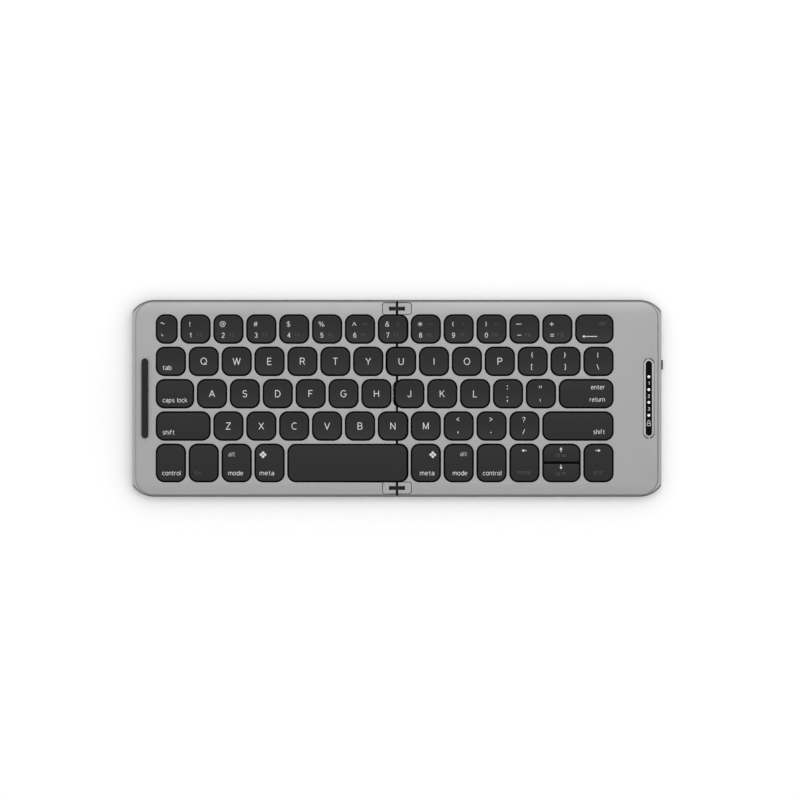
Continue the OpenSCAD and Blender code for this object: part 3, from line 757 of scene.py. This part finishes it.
def cutCorners(points, reach):  # a bent tube narrows at a sharp corner, so the stroke ends square there
    parts, part = [], [points[0]]
    for before, here, after in zip(points, points[1:], points[2:]):
        a, b = Vector(here) - Vector(before), Vector(after) - Vector(here)
        if a.length < legend["shortest"]:
            continue
        if b.length > legend["shortest"] and a.angle(b) > math.radians(sharpAngle):
            part.append(tuple(Vector(here) + a.normalized() * reach))
            parts.append(part)
            part = [tuple(Vector(here) - b.normalized() * reach)]
        else:
            part.append(here)
    return parts + [part + [points[-1]]]


def strokeMesh(strokes, x, y, z, halfLine):  # flat strokes through points in mm
    strokes = [part for points in strokes for part in cutCorners(points, legend["squareEnd"] * halfLine)]
    curve = bpy.data.curves.new("stroke", "CURVE")
    curve.dimensions = "3D"
    curve.bevel_depth = halfLine * mm
    curve.bevel_resolution = 1
    curve.use_fill_caps = True
    for points in strokes:
        spline = curve.splines.new("POLY")
        spline.points.add(len(points) - 1)
        for point, (px, py) in zip(spline.points, points):
            point.co = (px * mm, py * mm, 0, 1)
    makeActive(addObject("stroke", curve))
    bpy.ops.object.convert(target="MESH")
    obj = bpy.context.object
    for v in obj.data.vertices:
        v.co = (v.co.x + x, v.co.y + y, z + v.co.z / (halfLine * mm) * legend["thick"])
    return obj


# strokes of plain line letters, one unit high; a token with an "a" is an arc: middle, radii, first and last angle
glyphs = {
    "A": "0,0 .42,1 .84,0; .15,.34 .69,.34", "B": "0,0 0,1 a.36,.76,.24,.24,90,-90 0,.52; a.38,.26,.28,.26,90,-90 0,0",
    "C": "a.42,.5,.42,.5,48,312", "D": "0,0 0,1 a.3,.5,.42,.5,90,-90 0,0", "E": ".6,1 0,1 0,0 .62,0; 0,.52 .56,.52",
    "F": ".58,1 0,1 0,0; 0,.51 .5,.51", "G": "a.42,.5,.42,.5,48,318 .82,.47 .46,.47",
    "H": "0,0 0,1; .68,0 .68,1; 0,.52 .68,.52", "I": "0,0 0,1", "J": ".46,1 a.23,.25,.23,.25,0,-180",
    "K": "0,0 0,1; .64,1 0,.38; .24,.6 .67,0", "L": "0,1 0,0 .54,0",
    "M": "0,0 0,1 .39,.08 .78,1 .78,0", "N": "0,0 0,1 .68,0 .68,1", "O": "a.44,.5,.44,.5,0,360",
    "P": "0,0 0,1 a.36,.74,.27,.26,90,-90 0,.48", "Q": "a.44,.5,.44,.5,0,360; .54,.24 .86,-.04",
    "R": "0,0 0,1 a.38,.75,.26,.25,90,-90 0,.5; .4,.5 .68,0", "S": "a.32,.75,.27,.25,25,270 a.32,.25,.31,.25,90,-155",
    "T": "0,1 .7,1; .35,1 .35,0", "U": "0,1 a.34,.34,.34,.34,180,360 .68,1", "V": "0,1 .39,0 .78,1",
    "W": "0,1 .28,0 .56,1 .84,0 1.12,1", "X": "0,0 .72,1; 0,1 .74,0", "Y": "0,1 .38,.46 .76,1; .38,.46 .38,0",
    "Z": "0,1 .64,1 0,0 .67,0", "0": "a.27,.5,.27,.5,0,360", "1": "0,.78 .2,.86 .28,1 .28,0",
    "2": "a.27,.72,.26,.28,170,-32 0,0 .55,0", "3": "a.26,.76,.23,.24,150,-90 a.26,.26,.27,.26,90,-155",
    "4": ".42,0 .42,1 0,.3 .58,.3", "5": ".5,1 .1,1 .05,.52 a.26,.32,.27,.32,125,-150",
    "6": "a.27,.31,.27,.31,0,360; a.34,.42,.34,.58,190,60", "7": "0,1 .54,1 .2,0",
    "8": "a.26,.76,.22,.24,0,360; a.26,.26,.27,.26,0,360", "9": "a.27,.69,.27,.31,0,360; a.2,.58,.34,.58,10,-120",
    "~": "0,0 a.22,-.02,.18,.16,160,20 a.62,.02,.18,.16,200,340 .84,0", "`": "0,.46 .34,0",
    "!": "0,.38 0,1; -.03,0 -.03,.17; .03,0 .03,.17",
    "@": "a.6,.58,.2,.24,0,360; .82,.84 .82,.44 a.94,.48,.12,.14,200,340 a.6,.58,.6,.58,0,315",
    "#": ".14,0 .3,1; .5,0 .66,1; 0,.33 .76,.33; .04,.67 .8,.67",
    "$": "a.36,.75,.31,.26,25,270 a.36,.25,.35,.25,90,-155; .36,-.12 .36,1.12",
    "%": "a.24,.76,.2,.22,0,360; a.96,.24,.2,.22,0,360; .9,1 .3,0", "^": "0,0 .4,.7 .8,0",
    "&": ".82,0 .24,.62 a.42,.78,.2,.22,205,-35 .14,.44 a.36,.26,.34,.26,150,360 .74,.46",
    "*": ".5,0 .5,1; .02,.24 .98,.76; .02,.76 .98,.24", "(": "a.5,.5,.42,.64,130,230", ")": "a0,.5,.42,.64,50,-50",
    "_": "0,0 1.2,0", "-": "0,0 .86,0", "+": "0,.44 .88,.44; .44,0 .44,.88", "=": "0,0 .84,0; 0,.42 .84,.42",
    "{": ".26,1 .16,.94 .14,.6 0,.5 .14,.4 .16,.06 .26,0", "}": "0,1 .1,.94 .12,.6 .26,.5 .12,.4 .1,.06 0,0",
    "[": ".22,1 0,1 0,0 .22,0", "]": "0,1 .22,1 .22,0 0,0", "|": "0,0 0,1", "\\": "0,1 .4,0", "/": "0,0 .4,1",
    ":": "0,.58 0,.78; .08,.58 .08,.78; 0,0 0,.2; .08,0 .08,.2",
    ";": "0,.7 0,.9; .08,.7 .08,.9; 0,.2 0,0; .08,.2 .08,0 0,-.2", "\"": "0,0 0,.48; .38,0 .38,.48", "'": "0,0 0,.52",
    "<": ".52,.66 0,.33 .52,0", ">": "0,.66 .52,.33 0,0", ",": "0,.2 0,0; .08,.2 .08,0 0,-.2",
    ".": "0,0 0,.2; .08,0 .08,.2",
    "?": "a.25,.75,.25,.25,165,-50 .25,.42 .25,.3; .25,0 .25,.16",
    "a": "a.25,.5,.22,.22,150,0 .47,0; a.22,.2,.22,.2,0,360", "b": "0,1 0,0; a.26,.36,.26,.36,0,360",
    "c": "a.27,.36,.27,.36,45,315", "d": "a.26,.36,.26,.36,0,360; .52,1 .52,0", "e": ".02,.38 a.28,.36,.27,.36,5,315",
    "f": "a.32,.82,.18,.18,70,180 .14,0; 0,.7 .3,.7",
    "g": "a.26,.36,.26,.36,0,360; .52,.72 .52,-.06 a.27,-.06,.25,.22,0,-150",
    "h": "0,1 0,0; a.24,.46,.24,.26,180,0 .48,0", "i": "0,.72 0,0; 0,.98 0,1",
    "k": "0,1 0,0; .44,.72 0,.26; .16,.42 .48,0", "l": "0,1 0,0",
    "m": "0,.72 0,0; a.2,.5,.2,.22,180,0 .4,0; a.6,.5,.2,.22,180,0 .8,0",
    "n": "0,.72 0,0; a.24,.48,.24,.24,180,0 .48,0", "o": "a.28,.36,.28,.36,0,360",
    "p": "0,.72 0,-.28; a.26,.36,.26,.36,0,360", "r": "0,.72 0,0; a.26,.44,.26,.28,180,75",
    "s": "a.23,.54,.2,.18,30,270 a.23,.18,.22,.18,90,-150",
    "t": ".14,.94 .14,.14 a.3,.14,.16,.14,180,280; 0,.7 .32,.7",
    "u": "0,.72 0,.24 a.24,.24,.24,.24,180,360; .48,.72 .48,0"}
fineSigns = "@#$%&*"
letterGap, spaceGap = 0.22, 0.5


def glyphStrokes(sign, start=0.0):
    strokes = []
    for part in glyphs[sign].split(";"):
        points = []
        for token in part.split():
            n = [float(value) for value in token.lstrip("a").split(",")]
            if token[0] == "a":
                steps = max(4, int(abs(n[5] - n[4]) / legend["arcStep"]))
                angles = [math.radians(n[4] + (n[5] - n[4]) * k / steps) for k in range(steps + 1)]
                points += [(n[0] + n[2] * math.cos(a), n[1] + n[3] * math.sin(a)) for a in angles]
            else:
                points.append((n[0], n[1]))
        strokes.append([(px + start, py) for px, py in points])
    return strokes


# text about a middle point with "C", or standing on a line with its left end at x with "L" or its right end with "R"
def lineText(words, x, y, height, halfLine, anchor="C", width=0.0):
    strokes, start = [], 0.0
    for sign in words:
        if sign == " ":
            start += spaceGap
            continue
        placed = glyphStrokes(sign, start)
        strokes += placed
        start = max(px for points in placed for px, py in points) + letterGap
    xs = [px for points in strokes for px, py in points]
    ys = [py for points in strokes for px, py in points]
    scaleY = height / mm - 2 * halfLine
    scaleX = (width / mm - 2 * halfLine) / (max(xs) - min(xs)) if width else scaleY
    fromX = {"C": (min(xs) + max(xs)) / 2, "L": min(xs), "R": max(xs)}[anchor]
    fromY = (min(ys) + max(ys)) / 2 if anchor == "C" else 0.0
    side = {"C": 0, "L": halfLine, "R": -halfLine}[anchor]
    return strokeMesh([[((px - fromX) * scaleX + side, (py - fromY) * scaleY) for px, py in points]
                       for points in strokes], x, y, 0, halfLine)


def thicken(parts):  # joins flat parts and gives them the ink's thickness
    sign = joinAll(parts, "sign")
    startEdit(sign, "FACE")
    pickAll()
    bpy.ops.mesh.extrude_region_move(TRANSFORM_OT_translate={"value": (0, 0, legend["thick"])})
    pickAll()
    bpy.ops.mesh.normals_make_consistent(inside=False)
    endEdit()
    return sign


def arrowMesh(x, y, length, turn):
    bpy.ops.mesh.primitive_circle_add(vertices=3, radius=1, fill_type="NGON", location=(0, 0, 0))
    tip = bpy.context.object
    bpy.ops.mesh.primitive_plane_add(size=1, location=(0, 0, 0))
    stem = bpy.context.object
    stemLong = length - legend["headLong"]
    for v in tip.data.vertices:  # a triangle that points along +Y
        v.co.x *= legend["headWide"] / math.sqrt(3)
        v.co.y = (v.co.y + 0.5) / 1.5 * legend["headLong"] + stemLong - length / 2
    for v in stem.data.vertices:
        v.co.x *= legend["stemWide"]
        v.co.y = (v.co.y + 0.5) * stemLong - length / 2
    arrow = thicken([tip, stem])
    c, s = math.cos(math.radians(turn)), math.sin(math.radians(turn))
    for v in arrow.data.vertices:
        px, py = v.co.x, v.co.y
        v.co.x, v.co.y = x + c * px - s * py, y + s * px + c * py
    return arrow


def diamondMesh(x, y):  # four small lozenges, a plain sign for the meta keys
    parts = []
    for dx, dy in ((0, 1), (1, 0), (0, -1), (-1, 0)):
        place = (x + dx * legend["lozengeOut"], y + dy * legend["lozengeOut"], 0)
        bpy.ops.mesh.primitive_circle_add(vertices=4, radius=legend["lozenge"], fill_type="NGON", location=place)
        parts.append(bpy.context.object)
        placeMesh(parts[-1])
    return thicken(parts)


# what each key shows: glyph and dim give shares of the opening from its left and rear and a size, the others mm from
# its edges, then a width, or an arrow's length and turn
def digitKey(sign, digit, number, second=""):
    marks = [("glyph", sign, 0.31, 0.33, "digit"), ("glyph", digit, 0.325, 0.71, "digit"),
             ("dim", "F%d" % number, 0.61, 0.70, "dim")]
    return marks + [("dim", second, 0.66, 0.33, "dim")] if second else marks


def stackedKey(upper, lower, high=0.285, deep=0.69):
    return [("glyph", upper, 0.475, high, "mark"), ("glyph", lower, 0.475, deep, "mark")]


def letterKeys(letters):
    return [[("glyph", c, 0.50, 0.50, "letter")] for c in letters]


keyMarks = {
    "number_keys_left": [[("glyph", "~", 0.31, 0.30, "digit"), ("glyph", "`", 0.29, 0.71, "digit")]]
    + [digitKey(s, str(i + 1), i + 1, {"^": "<<", "&": ">|"}.get(s, "")) for i, s in enumerate("!@#$%^&")],
    "number_keys_right": [digitKey("*", "8", 8, ">>"), digitKey("(", "9", 9, "<"), digitKey(")", "0", 10, "<)"),
                          digitKey("_", "-", 11), digitKey("+", "=", 12)],
    "backspace_key": [[("arrow", 8.3, 12.7, 8.7, 90), ("dim", "del", 0.70, 0.30, "word")]],
    "tab_key": [[("left", "tab", 3.9, 3.6, 5.2)]],
    "top_letter_keys_left": letterKeys("QWERTY"),
    "top_letter_keys_right": letterKeys("UIOP") + [stackedKey("{", "["), stackedKey("}", "]"),
                                                   stackedKey("|", "\\")],
    "caps_lock_key": [[("left", "caps lock", 3.9, 3.5, 14.3)]],
    "home_row_keys_left": letterKeys("ASDFGH"),
    "home_row_keys_right": letterKeys("JKL") + [stackedKey(":", ";"), stackedKey("\"", "'", 0.265, 0.72)],
    "enter_key": [[("right", "enter", 5.0, 11.0, 8.0), ("right", "return", 5.0, 3.9, 8.8)]],
    "left_shift_key": [[("left", "shift", 4.0, 3.6, 6.8)]],
    "lower_letter_keys_left": letterKeys("ZXCVBN"),
    "lower_letter_keys_right": letterKeys("M") + [stackedKey("<", ",", 0.27, 0.72), stackedKey(">", ".", 0.27, 0.72),
                                                  stackedKey("?", "/")],
    "right_shift_key": [[("right", "shift", 5.0, 3.9, 6.6)]],
    "left_ctrl_key": [[("left", "control", 3.7, 4.1, 10.6)]],
    "fn_key": [[("dimLeft", "fn", 3.4, 4.1, 3.4)]],
    "left_alt_key": [[("greyUpLeft", "alt", 3.8, 7.2, 4.0), ("left", "mode", 3.8, 4.1, 8.6)]],
    "left_meta_key": [[("sign", 4.9, 6.3), ("left", "meta", 2.9, 4.1, 8.4)]],
    "space_bar": [[]],
    "right_meta_key": [[("sign", -4.6, 6.3), ("right", "meta", 3.7, 4.1, 8.4)]],
    "right_alt_key": [[("greyUpRight", "alt", 3.8, 7.0, 4.1), ("right", "mode", 3.7, 4.1, 8.4)]],
    "right_ctrl_key": [[("right", "control", 3.0, 4.1, 10.7)]],
    "arrow_left_key": [[("arrow", 8.4, 3.9, 2.9, 90), ("dim", "home", 0.49, 0.74, "word")]],
    "arrow_up_key": [[("arrow", 10.7, 3.4, 2.7, 0), ("dim", "pg up", 0.48, 0.62, "dim")]],
    "arrow_down_key": [[("arrow", 10.7, 2.7, 2.7, 180), ("dim", "pg dn", 0.48, 0.56, "dim")]],
    "arrow_right_key": [[("arrow", 8.4, 3.9, 2.9, -90), ("dim", "end", 0.48, 0.74, "word")]],
}
dished = {node for node in keyMarks if "_keys_" in node} | {"tab_key", "backspace_key"}


def layMark(mark, low, high):  # returns the mark's mesh and its ink
    kind = mark[0]
    x0, x1, y0, y1 = low.x - legend["gap"], high.x + legend["gap"], low.y - legend["gap"], high.y + legend["gap"]
    if kind in ("glyph", "dim"):
        text, fx, fy, size = mark[1:]
        line = legend["wordLine" if kind == "dim" else size + "Line"] * (legend["fine"] if text in fineSigns else 1)
        obj = lineText(text, x0 + fx * (x1 - x0), y1 - fy * (y1 - y0), legend[size], line)
        return obj, "dimInk" if kind == "dim" else "legendInk"
    if kind == "arrow":
        dx, dy, length, turn = mark[1:]
        return arrowMesh(x0 + dx * mm, y1 - dy * mm, length * mm, turn), "legendInk"
    if kind == "sign":
        dx, dy = mark[1:]
        return diamondMesh((x0 if dx > 0 else x1) + dx * mm, y1 - dy * mm), "legendInk"
    text, dx, dy, width = mark[1:]
    anchor = "R" if kind.lower().endswith("right") else "L"
    x = x1 - dx * mm if anchor == "R" else x0 + dx * mm
    y = y1 - dy * mm if "Up" in kind else y0 + dy * mm
    obj = lineText(text, x, y, legend["word"], legend["wordLine"], anchor, width * mm)
    ink = "greyInk" if kind.startswith("grey") else "dimInk" if kind.startswith("dim") else "legendInk"
    return obj, ink


def onCap(obj, low, high, dish):  # lays a mark on the cap's curved top
    for v in obj.data.vertices:
        v.co.z += capTop - dishDepth((2 * v.co.y - low.y - high.y) / (high.y - low.y), dish)


inkNames = {"legendInk": "_legends", "greyInk": "_grey_legends", "dimInk": "_dim_legends"}
for node in keyMarks:
    body = cadNodes[node]["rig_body"]
    caps, inks = [], {ink: [] for ink in inkNames}
    dish = capShape["dish"] if node in dished else capShape["crown"]
    innerSide = {"arrow_up_key": -1, "arrow_down_key": 1}.get(node, 0)
    for (low, high), marks in zip(islandBoxes(node), keyMarks[node]):
        caps.append(makeCap(node, low, high, dish, innerSide))
        for mark in marks:
            obj, ink = layMark(mark, low, high)
            onCap(obj, low, high, dish)
            inks[ink].append(obj)
    cap = joinAll(caps, node + "_caps")
    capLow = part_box(node)[0].z
    setFinish(cap, "keycapPlastic", "keycapEdge", "innerBlack", "keycapSide")
    edge, black, flank = 1, 2, 3
    for p in cap.data.polygons:  # the rolled edge gets a painted highlight, the moulded sides painted shade, and the skirt and underside black as painted shade
        if p.center.z < capLow + 2 * capShape["skirtHigh"] or p.normal.z < -slanted:
            p.material_index = black
        elif p.normal.z < capShape["edgeFrom"]:
            p.material_index = flank
        elif p.normal.z < capShape["edgeTo"]:
            p.material_index = edge
    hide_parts(node)
    offer(cap, body)
    for ink, objs in inks.items():
        if objs:
            printed = joinAll(objs, node + inkNames[ink])
            setFinish(printed, ink)
            offer(printed, body)
for model in capModels.values():
    bpy.data.objects.remove(model)
print("keycaps and legends made")


# a thin sheet in each notch of a cover, black on top as painted shade, under the keys of the other half that stand out
# over the split
notchShadeSheet = {"low": 0.06 * mm, "thick": 0.44 * mm, "inner": 0.5 * mm, "past": 0.95 * mm, "corner": 3.5 * mm,
              "cornerShare": 0.8, "cornerSegments": 6}
standingOut = {"left": ("top_letter_keys_right", "home_row_keys_right"),
               "right": ("number_keys_left", "lower_letter_keys_left", "space_bar")}


def makeNotchShadeSheets(side):
    plates, sign = [], sides[side]
    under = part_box(side + "_bottom_cover")[0].z + notchShadeSheet["low"]
    boxes = [box for node in standingOut[side] for box in islandBoxes(node) if box[0].x < 0 < box[1].x]
    for low, high in boxes:
        inner, outer = notchShadeSheet["inner"], (-low.x if sign < 0 else high.x) + notchShadeSheet["past"]
        corner = min(notchShadeSheet["corner"], notchShadeSheet["cornerShare"] * (outer - inner))
        plate = makeBlock((sign * (inner + outer) / 2, (low.y + high.y) / 2, under + notchShadeSheet["thick"] / 2),
                          (outer - inner, high.y - low.y + 2 * notchShadeSheet["past"], notchShadeSheet["thick"]))
        startEdit(plate, "EDGE")
        bevelEdges(plate, lambda e: isUpright(e) and abs(e.verts[0].co.x - sign * outer) < near, corner,
                   notchShadeSheet["cornerSegments"])
        endEdit()
        plates.append(plate)
    shadeSheets = joinAll(plates, side + "_notch_floors")
    setFinish(shadeSheets, "innerBlack", "anodisedCase")
    for p in shadeSheets.data.polygons:
        if p.normal.z < -level:
            p.material_index = 1
    offer(shadeSheets, side + "_half")


for side in sides:
    makeNotchShadeSheets(side)
print("notch floors made")


def middleOf(obj, axis):
    values = [v.co[axis] for v in obj.data.vertices]
    return (min(values) + max(values)) / 2


def makeLifts(side, kind, finish):  # one piece for each key's body, joined from the parts nearest to it
    source = weldedCopy(side + "_" + kind, side + "_" + kind + "_copy")
    startEdit(source)
    pickAll()
    bpy.ops.mesh.separate(type="LOOSE")
    endEdit()
    parts = [o for o in bpy.context.selected_objects if o.name.startswith(side + "_" + kind + "_copy")]
    groups = {}
    for part in parts:
        x, y = middleOf(part, 0), middleOf(part, 1)
        body = min(keyPlaces, key=lambda p: max(p[1].x - x, x - p[2].x, 0) + max(p[1].y - y, y - p[2].y, 0))[0]
        groups.setdefault(body, []).append(part)
    for body, members in sorted(groups.items()):
        piece = joinAll(members, kind + "_under_" + body)
        smooth(piece, sharpAngle)
        setFinish(piece, finish)
        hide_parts(side + "_" + kind)
        offer(piece, side + "_half")
        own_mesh(piece)


parents = {j["child"]: j["parent"] for j in frame["joints"]}
for side in sides:
    keyPlaces = [(cadNodes[node]["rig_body"], low, high) for node in keyMarks
                 for low, high in islandBoxes(node) if parents[cadNodes[node]["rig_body"]] == side + "_half"]
    makeLifts(side, "scissors", "liftPlastic")
    makeLifts(side, "domes", "domeRubber")
    makeLifts(side, "stabilisers", "springSteel")
print("lifts and domes made")


# the ribbon between the halves, in two strips that meet in the middle, cut across near it
ribbon = {"bendStart": 3.0 * mm, "bendEnd": 0.3 * mm, "cuts": 24, "smooth": 40}
for side, sign in sides.items():
    strip = weldedCopy("ribbon_cable", side + "_ribbon")
    startEdit(strip, "EDGE")
    pickAll()
    bpy.ops.mesh.bisect(plane_co=(0, 0, 0), plane_no=(sign, 0, 0), clear_inner=True, use_fill=True)
    for k in range(ribbon["cuts"] + 1):
        cutAcross((sign * ribbon["bendStart"] * (k + 0.5) / (ribbon["cuts"] + 1), 0, 0), (1, 0, 0))
    endEdit()
    smooth(strip, ribbon["smooth"])
    setFinish(strip, "flexFilm")
    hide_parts("ribbon_cable")
    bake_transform(strip)
print("ribbon made")


# indicator window marks
window = {"dot": 0.8 * mm, "dots": (12.5, 5.06, -2.34, -9.8), "dotSides": 32, "dotThick": 0.06 * mm,
          "dotEdge": 0.12 * mm, "dotRise": 0.03 * mm, "numeral": 2.1 * mm,
          "numerals": (("1", 8.8), ("2", 1.24), ("3", -6.1)), "line": 0.17, "signY": -14.1,
          "smooth": 50}
windowX = (windowLow.x + windowHigh.x) / 2
marks = []
for y in window["dots"]:
    bpy.ops.mesh.primitive_cylinder_add(vertices=window["dotSides"], radius=window["dot"], depth=window["dotThick"],
                                        location=(windowX, y * mm, windowHigh.z))
    dot = bpy.context.object
    placeMesh(dot)
    startEdit(dot, "FACE")
    pickFaces(dot, lambda f: f.normal.z > level)
    bpy.ops.mesh.inset(thickness=window["dotEdge"], depth=window["dotRise"])
    endEdit()
    smooth(dot, window["smooth"])
    marks.append(dot)
dots = joinAll(marks, "window_lamps")
setFinish(dots, "lampWhite")
offer(dots, "right_half")
marks = []
for text, y in window["numerals"]:
    obj = lineText(text, windowX, y * mm, window["numeral"], window["line"])
    for v in obj.data.vertices:
        v.co.z += windowHigh.z
    marks.append(obj)
# a plain sign under the lamps: a loop over a box
loop = [(-0.62, -0.35), (-0.62, 0.75), (-0.35, 1.35), (0, 1.55), (0.35, 1.35), (0.62, 0.75), (0.62, -0.35)]
box = [(-0.95, -1.75), (-0.95, -0.35), (0.95, -0.35), (0.95, -1.75), (-0.95, -1.75)]
marks.append(strokeMesh((loop, box), windowX, window["signY"] * mm, windowHigh.z, window["line"]))
numerals = joinAll(marks, "window_numerals")
setFinish(numerals, "legendInk")
offer(numerals, "right_half")
print("window marks made")
